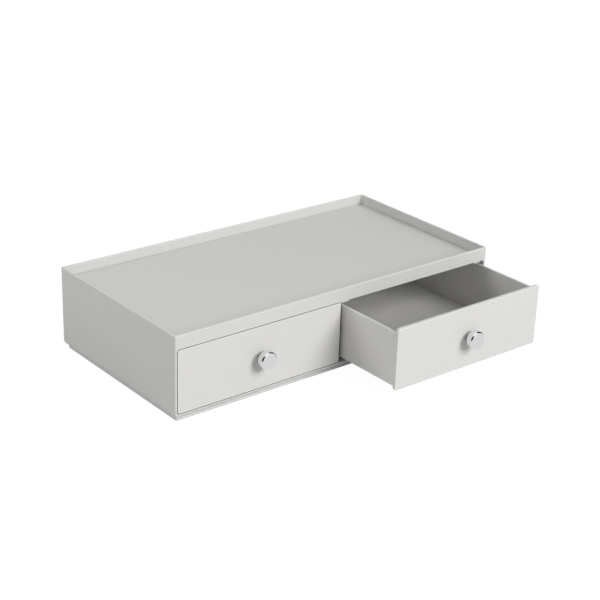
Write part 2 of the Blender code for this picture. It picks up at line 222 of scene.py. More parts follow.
# Rubber of the pads
RUBBER_COLOUR = (0.50, 0.50, 0.49)
RUBBER_TONE = 0.14
RUBBER_ROUGHNESS = 0.62
RUBBER_DUST_SCALE = 900.0
RUBBER_DUST_ROUGHNESS = 0.16
RUBBER_DUST_DEPTH = 0.03 * MM

# Camera: angles in degrees, its distance and shifts, and its lens and sensor in millimetres
CAMERA_AZIMUTH = -39.29
CAMERA_ELEVATION = 23.38
CAMERA_ROLL = 1.91
CAMERA_DISTANCE = 1299.0 * MM
CAMERA_RIGHT = 19.67 * MM
CAMERA_UP = 31.00 * MM
CAMERA_LENS = 88.28
CAMERA_SENSOR = 36.0

# Lamps: name, azimuth and elevation in degrees, distance and diameter in metres, power in watts
LAMPS = [
    ("key", 17.5, 30.5, 3.2, 1.8, 76.0),
    ("left_fill", -110.0, 35.0, 1.2, 0.5, 3.4),
    ("left_low", -75.0, 12.0, 1.6, 0.7, 0.8),
    ("front_low", -20.0, 10.0, 1.6, 0.7, 0.4),
]
AMBIENT = 0.264
WHITE = (1.0, 1.0, 1.0, 1.0)
# Azimuth and elevation in degrees of what the chrome reflects darkly, its half width and its soft edge
DARK_PATCHES = [(-46.0, 18.0, 32.0, 5.0), (-92.0, 20.0, 26.0, 5.0), (82.0, 32.0, 35.0, 5.0)]
PATCH_LEVEL = 0.01
# Height over the middle of the floor from which its share of the patches is laid out
PATCH_EYE = 120.0 * MM

# Floor: its size in metres, its paint, and how white the camera and the chrome see it
FLOOR_SIZE = 6.0
FLOOR_CELLS = 8
FLOOR_PAINT = (0.65, 0.65, 0.65, 1.0)
FLOOR_WHITE = 1.1
FLOOR_REFLECTED = 0.8
# Share of the floor's look that takes the lamps' shading, and the distances between which it fades out
FLOOR_SHADING = 0.12
FLOOR_FADE_START = 0.45
FLOOR_FADE_END = 0.80

# Places read from the frame
node_box = {name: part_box(name) for name in frame["nodes"]}
case_low, case_high = node_box["case_shell"]
case_middle = (case_low + case_high) / 2
case_front = case_low.y
bay_stop = case_front + FRONT_THICKNESS + STOP_GAP
bay_back = case_high.y - WALL
bay_half = case_high.x - WALL
tray_inner = node_box["right_drawer"][0].x + TRAY_SIDE_INSET
tray_outer = node_box["right_drawer"][1].x - TRAY_SIDE_INSET
pad_nodes = [name for name in frame["nodes"] if name.startswith("foot_")]
pad_places = [((low.x + high.x) / 2, (low.y + high.y) / 2)
              for low, high in (node_box[name] for name in pad_nodes)]


def clear_start_scene():
    """Removes what a new file holds besides the frame."""
    kept = set(frame["nodes"].values()) | set(frame["bodies"].values())
    for thing in list(bpy.data.objects):
        if thing not in kept:
            bpy.data.objects.remove(thing, do_unlink=True)


# Outlines and lofts

def quarter(start, end, steps, along_first):
    """Points of a quarter round from start to end, which leaves start along the given coordinate."""
    points = []
    for step in range(steps + 1):
        angle = math.pi / 2 * step / steps
        first, second = math.sin(angle), 1 - math.cos(angle)
        shares = (first, second) if along_first == 0 else (second, first)
        points.append(tuple(a + (b - a) * share for a, b, share in zip(start, end, shares)))
    return points


def rounded_outline(corners, steps):
    """A closed outline through (x, y, radius) corners, each corner rounded."""
    points = []
    count = len(corners)
    for index, (x, y, radius) in enumerate(corners):
        here = Vector((x, y))
        before = (Vector(corners[index - 1][:2]) - here).normalized()
        after = (Vector(corners[(index + 1) % count][:2]) - here).normalized()
        start, end = here + before * radius, here + after * radius
        centre = start + after * radius
        for step in range(steps + 1):
            angle = math.pi / 2 * step / steps
            points.append(centre + (start - centre) * math.cos(angle) + (end - centre) * math.sin(angle))
    return [(point.x, point.y) for point in points]


def rectangle(low, high, inset, radius, steps=CORNER_STEPS):
    """The outline of a rounded rectangle, in from its low and high corners by the inset."""
    left, bottom = low[0] + inset, low[1] + inset
    right, top = high[0] - inset, high[1] - inset
    return rounded_outline([(left, bottom, radius), (right, bottom, radius),
                            (right, top, radius), (left, top, radius)], steps)


def circle(place, radius):
    """The outline of a round cutter."""
    angles = [2 * math.pi * step / CUTTER_STEPS for step in range(CUTTER_STEPS)]
    return [(place[0] + radius * math.cos(angle), place[1] + radius * math.sin(angle)) for angle in angles]


def edged(low, high, low_edge, high_edge, low_steps=SMALL_STEPS):
    """Insets and places from low to high, with a quarter round, or a flare if negative, at either end."""
    return (quarter((low_edge, low), (0.0, low + low_edge), low_steps, 0)
            + quarter((0.0, high - abs(high_edge)), (high_edge, high), SMALL_STEPS, 1))


def level(outline, height):
    """The outline as points of a horizontal plane."""
    return [Vector((x, y, height)) for x, y in outline]


def upright(outline, depth):
    """The outline, given in x and z, as points of a plane that faces the front."""
    return [Vector((x, depth, z)) for x, z in outline]


def closed_mesh(tubes, name):
    """A mesh of closed tubes, each through rings of equal point counts, with its normals outwards."""
    bm = bmesh.new()
    for rings in tubes:
        made = [[bm.verts.new(point) for point in ring] for ring in rings]
        for lower, upper in zip(made, made[1:]):
            for index in range(len(lower)):
                following = (index + 1) % len(lower)
                bm.faces.new((lower[index], lower[following], upper[following], upper[index]))
        bm.faces.new(reversed(made[0]))
        bm.faces.new(made[-1])
    bmesh.ops.remove_doubles(bm, verts=bm.verts, dist=MERGE)
    bmesh.ops.recalc_face_normals(bm, faces=bm.faces)
    mesh = bpy.data.meshes.new(name)
    bm.to_mesh(mesh)
    bm.free()
    return mesh


def loft(rings, name):
    """A closed solid through rings of equal point counts."""
    return closed_mesh([rings], name)


# Pieces

def new_piece(name, mesh):
    """An object at the origin, linked to the scene."""
    piece = bpy.data.objects.new(name, mesh)
    bpy.context.scene.collection.objects.link(piece)
    return piece


def bake(piece):
    """Turns the piece's modifiers into its plain mesh."""
    depsgraph = bpy.context.evaluated_depsgraph_get()
    mesh = bpy.data.meshes.new_from_object(piece.evaluated_get(depsgraph))
    piece.modifiers.clear()
    piece.data = mesh


def carve(piece, tools):
    """Cuts or joins each (operation, mesh) in turn, and leaves one clean mesh."""
    made = []
    for operation, mesh in tools:
        tool = new_piece(mesh.name, mesh)
        modifier = piece.modifiers.new(mesh.name, "BOOLEAN")
        modifier.operation = operation
        modifier.solver = "EXACT"
        modifier.object = tool
        made.append(tool)
    bake(piece)
    for tool in made:
        bpy.data.objects.remove(tool, do_unlink=True)
    bm = bmesh.new()
    bm.from_mesh(piece.data)
    bmesh.ops.remove_doubles(bm, verts=bm.verts, dist=MERGE)
    bmesh.ops.dissolve_degenerate(bm, edges=bm.edges, dist=MERGE)
    bm.to_mesh(piece.data)
    bm.free()


def smooth(piece):
    """Smooth shading that keeps flat faces flat and the sharp edges sharp."""
    piece.data.shade_smooth()
    piece.data.set_sharp_from_angle(angle=SHARP_ANGLE)
    modifier = piece.modifiers.new("flat_faces_stay_flat", "WEIGHTED_NORMAL")
    modifier.mode = "FACE_AREA_WITH_ANGLE"
    modifier.keep_sharp = True


def finish_piece(piece, material, body, slot, *nodes):
    """Smooths a piece, gives it its material, and sets it on its body in place of CAD nodes. The slot is
    not used.
    """
    smooth(piece)
    piece.data.materials.clear()
    piece.data.materials.append(material)
    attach(piece, body)
    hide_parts(*nodes)


# Case

def case_level(inset, height, radius):
    """A ring round the case, in from its outside by the inset."""
    return level(rectangle(case_low.xy, case_high.xy, inset, radius), height)


def base_round():
    """Insets and heights of the large round under the wall, from the plinth up."""
    lean = math.asin(1 - PLINTH_INSET / BASE_EDGE)
    middle = PLINTH_TOP + BASE_EDGE * math.cos(lean)
    points = []
    for step in range(CORNER_STEPS + 1):
        angle = lean + (math.pi / 2 - lean) * step / CORNER_STEPS
        points.append((BASE_EDGE * (1 - math.sin(angle)), middle - BASE_EDGE * math.cos(angle)))
    return points


def case_outside():
    """From under the plinth, up the wall, over the rim and down to the floor of the tray top."""
    bottom, rim, foot = case_low.z, case_high.z, WALL + LIP_DRAFT
    plinth = quarter((PLINTH_INSET + PLINTH_EDGE, bottom), (PLINTH_INSET, bottom + PLINTH_EDGE),
                     ROUND_STEPS, 0)
    rim_outer = quarter((0.0, rim - RIM_OUTER_EDGE), (RIM_OUTER_EDGE, rim), ROUND_STEPS, 1)
    rim_inner = quarter((WALL - RIM_INNER_EDGE, rim), (WALL, rim - RIM_INNER_EDGE), ROUND_STEPS, 0)
    fillet = quarter((foot, TRAY_TOP + LIP_FILLET), (foot + LIP_FILLET, TRAY_TOP), ROUND_STEPS, 1)
    rings = [case_level(inset, height, CASE_RADIUS) for inset, height in plinth + base_round()]
    rings += [case_level(inset, height, CASE_RADIUS - inset) for inset, height in rim_outer]
    rings += [case_level(inset, height, LIP_RADIUS + WALL - inset) for inset, height in rim_inner]
    rings += [case_level(inset, height, max(LIP_RADIUS + foot - inset, LIP_FLOOR_RADIUS))
              for inset, height in fillet]
    return loft(rings, "case")


def opening_cutter():
    """The opening across the front, with a small round all along its edge."""
    profile = [(OPENING_EDGE, case_front - OVERRUN)]
    profile += quarter((OPENING_EDGE, case_front), (0.0, case_front + OPENING_EDGE), SMALL_STEPS, 0)
    profile.append((0.0, bay_stop))
    low, high = (-bay_half, BAY_FLOOR), (bay_half, BAY_ROOF)
    return loft([upright(rectangle(low, high, -grow, OPENING_RADIUS + grow), depth)
                 for grow, depth in profile], "opening")


def bay_outline(side):
    """Section of one bay between the divider and the side wall, in x and z, mirrored for the left side."""
    corners = [(DIVIDER_HALF, BAY_FLOOR, RIB_EDGE), (bay_half, BAY_FLOOR, OPENING_RADIUS),
               (bay_half, BAY_ROOF, OPENING_RADIUS), (DIVIDER_HALF, BAY_ROOF, RIB_EDGE)]
    return rounded_outline([(side * x, z, radius) for x, z, radius in corners], CORNER_STEPS)


def small_block(low, high, edge, name):
    """A small block with all its edges rounded."""
    return loft([level(rectangle(low.xy, high.xy, inset, edge + LEAST_RADIUS, SMALL_STEPS), height)
                 for inset, height in edged(low.z, high.z, edge, edge)], name)


def bay_block(side, low, high, name):
    """A small block in one bay, given for the right one and mirrored for the left side."""
    left, right = sorted((side * low[0], side * high[0]))
    return small_block(Vector((left, *low[1:])), Vector((right, *high[1:])), RIB_EDGE, name)


def ribs(side):
    """The guides beside the tray of one bay and the runners under it."""
    divider, wall = DIVIDER_HALF - EMBED, bay_half + EMBED
    spans = [(divider, tray_inner - GUIDE_GAP, GUIDE_TOP),
             (tray_outer + GUIDE_GAP, wall, GUIDE_TOP),
             (divider, tray_inner + RUNNER_WIDTH, RUNNER_TOP),
             (tray_outer - RUNNER_WIDTH, wall, RUNNER_TOP)]
    return [bay_block(side, (near, bay_stop + RIB_SETBACK, BAY_FLOOR - EMBED),
                      (far, bay_back + EMBED, top), "rib")
            for near, far, top in spans]


def roof_lugs(side):
    """The two lugs under the roof of one bay, just inside its mouth."""
    return [bay_block(side, (near, bay_stop, BAY_ROOF - LUG_DROP),
                      (near + LUG_WIDTH, bay_stop + LUG_LENGTH, BAY_ROOF + ROOF_EMBED), "roof_lug")
            for near in (tray_inner, tray_outer - LUG_WIDTH)]


def base_hollow():
    """The hollow inside the plinth ring, in the shape of a plus that leaves the four corner blocks."""
    outer_x, outer_y = case_high.x - PLINTH_INSET, (case_high.y - case_low.y) / 2 - PLINTH_INSET
    wide_x, wide_y = outer_x - PLINTH_WALL, outer_y - PLINTH_WALL
    slim_x, slim_y = outer_x - CORNER_BLOCK, outer_y - CORNER_BLOCK
    corners = [(wide_x, -slim_y), (wide_x, slim_y), (slim_x, slim_y), (slim_x, wide_y),
               (-slim_x, wide_y), (-slim_x, slim_y), (-wide_x, slim_y), (-wide_x, -slim_y),
               (-slim_x, -slim_y), (-slim_x, -wide_y), (slim_x, -wide_y), (slim_x, -slim_y)]
    outline = rounded_outline([(x, y + case_middle.y, BLOCK_EDGE) for x, y in corners], SMALL_STEPS)
    return loft([level(outline, -OVERRUN), level(outline, HOLLOW_ROOF)], "base_hollow")


def build_case(material):
    """The outer shell, with its opening, bays and underside cut, and its ribs and lugs joined."""
    case = new_piece("case_moulding", case_outside())
    pockets = [[level(circle(place, POCKET_RADIUS), height) for height in (-OVERRUN, POCKET_TOP)]
               for place in pad_places]
    tools = [("DIFFERENCE", opening_cutter()), ("DIFFERENCE", base_hollow()),
             ("DIFFERENCE", closed_mesh(pockets, "pad_pockets"))]
    for side in (-1, 1):
        bay = loft([upright(bay_outline(side), depth) for depth in (bay_stop, bay_back)], "bay")
        tools.append(("DIFFERENCE", bay))
        tools += [("UNION", block) for block in ribs(side) + roof_lugs(side)]
    carve(case, tools)
    finish_piece(case, material, "case", "case_plastic", "case_shell")


# Drawers

def drawer_front(low, high):
    """The front panel, rounded at its corners and along both its edges."""
    profile = edged(low.y, low.y + FRONT_THICKNESS, FRONT_EDGE, FRONT_BACK_EDGE)
    return loft([upright(rectangle(low.xz, high.xz, inset, FRONT_RADIUS - inset), depth)
                 for inset, depth in profile], "drawer")


def tray_section(low, high, near, inset, near_radius, far_radius):
    """A level section of the tray, from the front panel at near to its rear wall."""
    left, right, far = low.x + inset, high.x - inset, high.y - inset
    return rounded_outline([(left, near, near_radius), (right, near, near_radius),
                            (right, far, far_radius), (left, far, far_radius)], CORNER_STEPS)


def tray_block(low, high):
    """The outside of the tray, which reaches into the front panel."""
    return loft([level(tray_section(low, high, low.y, inset, LEAST_RADIUS, TRAY_RADIUS - inset), height)
                 for inset, height in edged(low.z, high.z, TRAY_LOW_EDGE, TRAY_RIM_EDGE)], "tray_block")


def tray_hollow(low, high):
    """The inside of the tray, with a fillet round its floor and a small round along its rim."""
    profile = edged(low.z, high.z, TRAY_FILLET, -TRAY_RIM_EDGE, ROUND_STEPS)
    profile.append((-TRAY_RIM_EDGE, high.z + OVERRUN))
    rings = []
    for inset, height in profile:
        radius = TRAY_INNER_RADIUS - inset
        near = low.y + max(inset, 0.0)
        rings.append(level(tray_section(low, high, near, inset, radius, radius), height))
    return loft(rings, "tray_hollow")


def stop_nibs(low, high):
    """The two nibs on the tray's side walls that come up to the lugs when the drawer is fully open."""
    rear = high.y - NIB_FROM_REAR
    reach = TRAY_WALL - TRAY_RIM_EDGE / 2
    spans = [(low.x + NIB_INSET, low.x + reach), (high.x - reach, high.x - NIB_INSET)]
    return [small_block(Vector((near, rear - NIB_LENGTH, high.z - EMBED)),
                        Vector((far, rear, high.z + NIB_HEIGHT)), NIB_EDGE, "stop_nib")
            for near, far in spans]


def build_drawer(side_name, material):
    """The front panel with its tray joined and hollowed, its nibs, and the hole for the knob's screw."""
    node = side_name + "_drawer"
    low, high = node_box[node]
    knob_low, knob_high = node_box[side_name + "_knob"]
    knob_place = ((knob_low.x + knob_high.x) / 2, (knob_low.z + knob_high.z) / 2)
    front_back = low.y + FRONT_THICKNESS
    tray_low = Vector((low.x + TRAY_SIDE_INSET, front_back - EMBED, low.z + TRAY_BOTTOM_INSET))
    tray_high = Vector((high.x - TRAY_SIDE_INSET, high.y, high.z - TRAY_TOP_INSET))
    hollow_low = Vector((tray_low.x + TRAY_WALL, front_back, tray_low.z + TRAY_FLOOR))
    hollow_high = Vector((tray_high.x - TRAY_WALL, tray_high.y - TRAY_WALL, tray_high.z))
    hole = loft([upright(circle(knob_place, SCREW_HOLE_RADIUS), depth)
                 for depth in (low.y - OVERRUN, front_back + OVERRUN)], "screw_hole")
    tools = [("UNION", tray_block(tray_low, tray_high)),
             ("DIFFERENCE", tray_hollow(hollow_low, hollow_high))]
    tools += [("UNION", nib) for nib in stop_nibs(tray_low, tray_high)]
    tools.append(("DIFFERENCE", hole))
    drawer = new_piece(side_name + "_drawer_moulding", drawer_front(low, high))
    carve(drawer, tools)
    finish_piece(drawer, material, side_name + "_drawer_unit", "drawer_plastic", node)


# Node trees

class Number:
    """A number in a node tree. Arithmetic on it adds Math nodes."""

    def __init__(self, graph, socket):
        self.graph = graph
        self.socket = socket

    def __add__(self, other):
        return self.graph.math("ADD", self, other)

    def __radd__(self, other):
        return self.graph.math("ADD", other, self)

    def __sub__(self, other):
        return self.graph.math("SUBTRACT", self, other)

    def __rsub__(self, other):
        return self.graph.math("SUBTRACT", other, self)

    def __mul__(self, other):
        return self.graph.math("MULTIPLY", self, other)

    def __rmul__(self, other):
        return self.graph.math("MULTIPLY", other, self)

    def __truediv__(self, other):
        return self.graph.math("DIVIDE", self, other)

    def __pow__(self, other):
        return self.graph.math("POWER", self, other)


class Graph:
    """Adds nodes to a tree: each with its settings first, then the values or links of its sockets."""

    def __init__(self, tree):
        self.tree = tree

    def node(self, kind, settings=None, sockets=None):
        """A new node. The settings "stops" and "cases" fill a ramp and an index switch."""
        node = self.tree.nodes.new(kind)
        for name, value in (settings or {}).items():
            if name == "stops":
                self.set_stops(node.color_ramp, value)
            elif name == "cases":
                while len(node.index_switch_items) < value:
                    node.index_switch_items.new()
            else:
                setattr(node, name, value)
        for key, value in (sockets or {}).items():
            self.feed(node.inputs[key], value)
        return node

    def set_stops(self, ramp, stops):
        """Gives a ramp its (position, shade) stops, in greys."""
        while len(ramp.elements) < len(stops):
            ramp.elements.new(1.0)
        for element, (position, shade) in zip(ramp.elements, stops):
            element.position = position
            element.color = (shade, shade, shade, 1.0)

    def feed(self, socket, value):
        """Links an output or a number of the tree to the socket, or sets a plain value on it."""
        if isinstance(value, Number):
            value = value.socket
        if isinstance(value, bpy.types.NodeSocket):
            self.tree.links.new(value, socket)
        else:
            socket.default_value = value

    def math(self, operation, *values):
        """The number that a Math node makes of the values."""
        node = self.node("ShaderNodeMath", {"operation": operation}, dict(enumerate(values)))
        return Number(self, node.outputs[0])


class Shape(Graph):
    """A geometry tree with named inputs for its sizes, its steps and its material."""

    def __init__(self, name, sizes):
        super().__init__(bpy.data.node_groups.new(name, "GeometryNodeTree"))
        self.sizes = sizes
        face = self.tree.interface
        face.new_socket(name="Geometry", in_out="OUTPUT", socket_type="NodeSocketGeometry")
        kinds = {label: "NodeSocketFloat" for label in sizes}
        kinds.update({"Turn Steps": "NodeSocketInt", "Place": "NodeSocketVector",
                      "Material": "NodeSocketMaterial"})
        self.keys = {label: face.new_socket(name=label, in_out="INPUT", socket_type=kind).identifier
                     for label, kind in kinds.items()}
        self.inputs = self.node("NodeGroupInput")

    def size(self, label):
        """A named input as a number."""
        return Number(self, self.inputs.outputs[label])

    def outline(self, corners, arc_steps):
        """A curve through (radius, height, rounding) corners, in its own x and y."""
        line = self.node("GeometryNodeCurvePrimitiveLine")
        points = self.node("GeometryNodeResampleCurve", {"mode": "COUNT"},
                           {"Curve": line.outputs[0], "Count": len(corners)})
        index = self.node("GeometryNodeInputIndex").outputs[0]
        places, rounds = (self.node("GeometryNodeIndexSwitch", {"data_type": kind, "cases": len(corners)},
                                    {"Index": index}) for kind in ("VECTOR", "FLOAT"))
        for number, (radius, height, rounding) in enumerate(corners, start=1):
            place = self.node("ShaderNodeCombineXYZ", None, {"X": radius, "Y": height})
            self.feed(places.inputs[number], place.outputs[0])
            self.feed(rounds.inputs[number], rounding)
        placed = self.node("GeometryNodeSetPosition", None,
                           {"Geometry": points.outputs[0], "Position": places.outputs[0]})
        return self.node("GeometryNodeFilletCurve", {"mode": "POLY"},
                         {"Curve": placed.outputs[0], "Radius": rounds.outputs[0],
                          "Count": arc_steps, "Limit Radius": True}).outputs[0]

    def turned(self, corners, arc_steps):
        """A solid turned about Z from its outline."""
        reach = corners[1][0]
        local = [(radius - reach, 0.0 - height, rounding) for radius, height, rounding in corners]
        path = self.node("GeometryNodeCurvePrimitiveCircle", {"mode": "RADIUS"},
                         {"Resolution": self.inputs.outputs["Turn Steps"], "Radius": reach})
        swept = self.node("GeometryNodeCurveToMesh", None,
                          {"Curve": path.outputs[0], "Profile Curve": self.outline(local, arc_steps)})
        return self.node("GeometryNodeMergeByDistance", None,
                         {"Geometry": swept.outputs[0], "Distance": MERGE}).outputs[0]

    def end(self, geometry, turn=(0.0, 0.0, 0.0)):
        """Turns and places the geometry, and gives it its material."""
        placed = self.node("GeometryNodeTransform", None,
                           {"Geometry": geometry, "Rotation": turn,
                            "Translation": self.inputs.outputs["Place"]})
        real = self.node("GeometryNodeRealizeInstances", None, {"Geometry": placed.outputs[0]})
        finished = self.node("GeometryNodeSetMaterial", None,
                             {"Geometry": real.outputs[0], "Material": self.inputs.outputs["Material"]})
        self.node("NodeGroupOutput", None, {"Geometry": finished.outputs[0]})

    def make(self, name, place, material):
        """A piece with the tree's result as its plain mesh."""
        piece = new_piece(name, bpy.data.meshes.new(name))
        modifier = piece.modifiers.new("shape", "NODES")
        modifier.node_group = self.tree
        for label, value in self.sizes.items():
            modifier[self.keys[label]] = value
        modifier[self.keys["Turn Steps"]] = TURN_STEPS
        modifier[self.keys["Place"]] = place
        modifier[self.keys["Material"]] = material
        bake(piece)
        return piece


def knob_shape():
    """A turned knob: from the middle of its face, over the head and the neck, and up its bore."""
    shape = Shape("turned_knob", KNOB)
    head, neck, bore = (shape.size(label) / 2
                        for label in ("Head Diameter", "Neck Diameter", "Bore Diameter"))
    seat = shape.size("Neck Length")
    top = seat + shape.size("Head Length")
    edge, rear, depth = (shape.size(label) for label in ("Edge Radius", "Rear Radius", "Bore Depth"))
    corners = [(0.0, top, 0.0), (head, top, edge), (head, seat, rear), (neck, seat, rear),
               (neck, 0.0, 0.0), (bore, 0.0, 0.0), (bore, depth, 0.0), (0.0, depth, 0.0)]
    shape.end(shape.turned(corners, ROUND_STEPS), LAID_ALONG_Y)
    return shape


def screw_shape():
    """A round-headed screw with a cross recess in its head, which faces the rear."""
    shape = Shape("knob_screw", SCREW)
    head, shank = shape.size("Head Diameter") / 2, shape.size("Shank Diameter") / 2
    height, length = shape.size("Head Height"), shape.size("Shank Length")
    chamfer, rounding = shape.size("Tip Chamfer"), shape.size("Head Round")
    corners = [(0.0, length, 0.0), (shank, length, chamfer), (shank, 0.0, 0.0),
               (head, 0.0, 0.0), (head, 0.0 - height, rounding), (0.0, 0.0 - height, 0.0)]
    cut = shape.turned(corners, ROUND_STEPS)
    long, slim, depth = (shape.size(label) for label in ("Slot Length", "Slot Width", "Slot Depth"))
    place = shape.node("ShaderNodeCombineXYZ", None, {"Z": 0.0 - height}).outputs[0]
    for across, along in ((long, slim), (slim, long)):
        size = shape.node("ShaderNodeCombineXYZ", None, {"X": across, "Y": along, "Z": depth * 2})
        bar = shape.node("GeometryNodeMeshCube", None, {"Size": size.outputs[0]})
        moved = shape.node("GeometryNodeTransform", None,
                           {"Geometry": bar.outputs[0], "Translation": place})
        cut = shape.node("GeometryNodeMeshBoolean", {"operation": "DIFFERENCE", "solver": "EXACT"},
                         {"Mesh 1": cut, "Mesh 2": moved.outputs[0]}).outputs[0]
    shape.end(cut, LAID_ALONG_Y)
    return shape


def pads_shape(spacing):
    """A round pad at each corner of a rectangle."""
    shape = Shape("corner_pads", {**PAD, "Spacing X": spacing.x, "Spacing Y": spacing.y})
    radius, thick, edge = shape.size("Diameter") / 2, shape.size("Thickness"), shape.size("Edge Round")
    pad = shape.turned([(0.0, thick, 0.0), (radius, thick, edge), (radius, 0.0, edge), (0.0, 0.0, 0.0)],
                       SMALL_STEPS)
    grid = shape.node("GeometryNodeMeshGrid", None,
                      {"Size X": shape.size("Spacing X"), "Size Y": shape.size("Spacing Y"),
                       "Vertices X": 2, "Vertices Y": 2})
    pads = shape.node("GeometryNodeInstanceOnPoints", None, {"Points": grid.outputs[0], "Instance": pad})
    shape.end(pads.outputs[0])
    return shape


# Finishes

class Finish(Graph):
    """A material whose shader is fed from patterns on the piece's own coordinates."""

    def __init__(self, name):
        self.material = bpy.data.materials.new(name)
        self.material.use_nodes = True
        super().__init__(self.material.node_tree)
        self.shader = self.tree.nodes["Principled BSDF"]
        self.place = self.node("ShaderNodeTexCoord").outputs["Object"]

    def noise(self, scale, detail=2.0, roughness=0.5, place=None):
        """A cloudy pattern from nought to one."""
        node = self.node("ShaderNodeTexNoise", {"noise_dimensions": "3D"},
                         {"Vector": place or self.place, "Scale": scale, "Detail": detail,
                          "Roughness": roughness})
        return Number(self, node.outputs["Fac"])

    def mapped(self, location=(0.0, 0.0, 0.0), scale=(1.0, 1.0, 1.0), rotation=(0.0, 0.0, 0.0)):
        """The piece's coordinates, moved, stretched or turned."""
        return self.node("ShaderNodeMapping", None, {"Vector": self.place, "Location": location,
                                                     "Rotation": rotation, "Scale": scale}).outputs[0]

    def corner(self, reach, **settings):
        """Nought on open faces, and more where faces meet within reach."""
        node = self.node("ShaderNodeAmbientOcclusion", {"samples": CORNER_SAMPLES, **settings},
                         {"Distance": reach})
        return 1 - Number(self, node.outputs["AO"])

    def ramp(self, number, stops):
        """The number read off a grey ramp."""
        node = self.node("ShaderNodeValToRGB", {"stops": stops}, {"Fac": number})
        return Number(self, node.outputs["Color"])

    def tinted(self, colour, tone):
        """The colour made lighter or darker by the tone."""
        return self.node("ShaderNodeVectorMath", {"operation": "SCALE"},
                         {"Vector": colour, "Scale": tone}).outputs["Vector"]

    def bump(self, height, distance, strength=1.0, normal=None):
        """A bumped normal, over another one where it is given."""
        sockets = {"Height": height, "Distance": distance, "Strength": strength}
        if normal is not None:
            sockets["Normal"] = normal
        return self.node("ShaderNodeBump", None, sockets).outputs["Normal"]

    def set(self, **sockets):
        """Sets or links the shader's sockets, with underscores for the spaces in their names."""
        for name, value in sockets.items():
            self.feed(self.shader.inputs[name.replace("_", " ")], value)


def varied(middle, *parts):
    """The middle value, moved up and down by each (share, pattern). A pattern runs from nought to one."""
    for share, pattern in parts:
        middle = middle + share * (pattern - 0.5)
    return middle


def satin_plastic(name, colour):
    """Satin moulded plastic: mould grain, mottle and drift, with painted shade in its corners and gaps and
    a painted highlight along its edges.
    """
    finish = Finish(name)
    cloud = finish.noise(CLOUD_SCALE, detail=1.0)
    mottle = finish.noise(MOTTLE_SCALE, roughness=0.6)
    grain = finish.noise(GRAIN_SCALE, roughness=0.6)
    # Painted shade: the base colour darkens where faces meet or other pieces come near, in corners and
    # gaps
    dust_and_shade = finish.corner(CORNER_SHADE_REACH)
    # Painted highlight: the base colour lightens along the outer edges
    edge = finish.corner(EDGE_HIGHLIGHT_REACH, only_local=True, inside=True)
    tone = varied(1, (CLOUD_TONE, cloud), (MOTTLE_TONE, mottle), (GRAIN_TONE, grain))
    drawn_out = finish.mapped(scale=WIPE_SCALE, rotation=WIPE_TURN)
    wiped = finish.ramp(finish.noise(1.0, detail=3.0, roughness=0.6, place=drawn_out), WIPE_STOPS)
    roughness = varied(PLASTIC_ROUGHNESS, (CLOUD_ROUGHNESS, cloud), (MOTTLE_ROUGHNESS, mottle),
                       (GRAIN_ROUGHNESS, grain))
    finish.set(
        # The base colour carries the painted corner shade and the painted edge highlight
        Base_Color=finish.tinted(colour, tone - CORNER_SHADE * dust_and_shade + EDGE_HIGHLIGHT * edge),
        Roughness=roughness - WIPE_GLOSS * wiped,
        Normal=finish.bump(grain, GRAIN_DEPTH, normal=finish.bump(mottle, MOTTLE_DEPTH)),
    )
    return finish.material


def chrome_plating(name, middle):
    """Bright plating over a turned face: faint rings about the knob's axis and soft polishing haze."""
    finish = Finish(name)
    centred = finish.mapped(location=(-middle.x, 0.0, -middle.z))
    parts = finish.node("ShaderNodeSeparateXYZ", None, {"Vector": centred})
    x, z = (Number(finish, parts.outputs[axis]) for axis in ("X", "Z"))
    radius = (x * x + z * z) ** 0.5
    rings = finish.math("SINE", radius * RING_PHASE + finish.noise(WOBBLE_SCALE) * RING_WOBBLE)
    haze = finish.noise(HAZE_SCALE, detail=3.0, roughness=0.6)
    finish.set(
        Base_Color=finish.tinted(CHROME_COLOUR, varied(1, (CHROME_TONE, haze))),
        Roughness=CHROME_ROUGHNESS + CHROME_HAZE * haze,
        Metallic=1.0,
        Normal=finish.bump(rings, RING_DEPTH, RING_STRENGTH),
    )
    return finish.material


def zinc_plating(name):
    """Bright zinc on a small screw, with a fine crystalline sparkle."""
    finish = Finish(name)
    crystal = finish.noise(CRYSTAL_SCALE, detail=3.0, roughness=0.7)
    haze = finish.noise(ZINC_TONE_SCALE)
    finish.set(
        Base_Color=finish.tinted(ZINC_COLOUR, varied(1, (ZINC_TONE, haze))),
        Roughness=ZINC_ROUGHNESS + CRYSTAL_ROUGHNESS * crystal,
        Metallic=1.0,
        Normal=finish.bump(crystal, CRYSTAL_DEPTH),
    )
    return finish.material


def soft_rubber(name):
    """Milky grey pad rubber with a dusty, slightly uneven face."""
    finish = Finish(name)
    dust_and_shade = finish.noise(RUBBER_DUST_SCALE, detail=3.0, roughness=0.6)
    finish.set(
        Base_Color=finish.tinted(RUBBER_COLOUR, varied(1, (RUBBER_TONE, dust_and_shade))),
        Roughness=varied(RUBBER_ROUGHNESS, (RUBBER_DUST_ROUGHNESS, dust_and_shade)),
        Normal=finish.bump(dust_and_shade, RUBBER_DUST_DEPTH),
    )
    return finish.material


# Stage, light and camera

def toward(azimuth, elevation):
    """The unit vector at these angles in degrees: azimuth from the front to the right, elevation up."""
    turn, rise = math.radians(azimuth), math.radians(elevation)
    return Vector((math.sin(turn) * math.cos(rise), -math.cos(turn) * math.cos(rise), math.sin(rise)))


def white_rays(graph):
    """One where a camera, a reflection or a refraction looks at the backdrop."""
    path = graph.node("ShaderNodeLightPath")
    camera, glossy, through = (Number(graph, path.outputs[name])
                               for name in ("Is Camera Ray", "Is Glossy Ray", "Is Transmission Ray"))
    return graph.math("MAXIMUM", graph.math("MAXIMUM", camera, glossy), through)


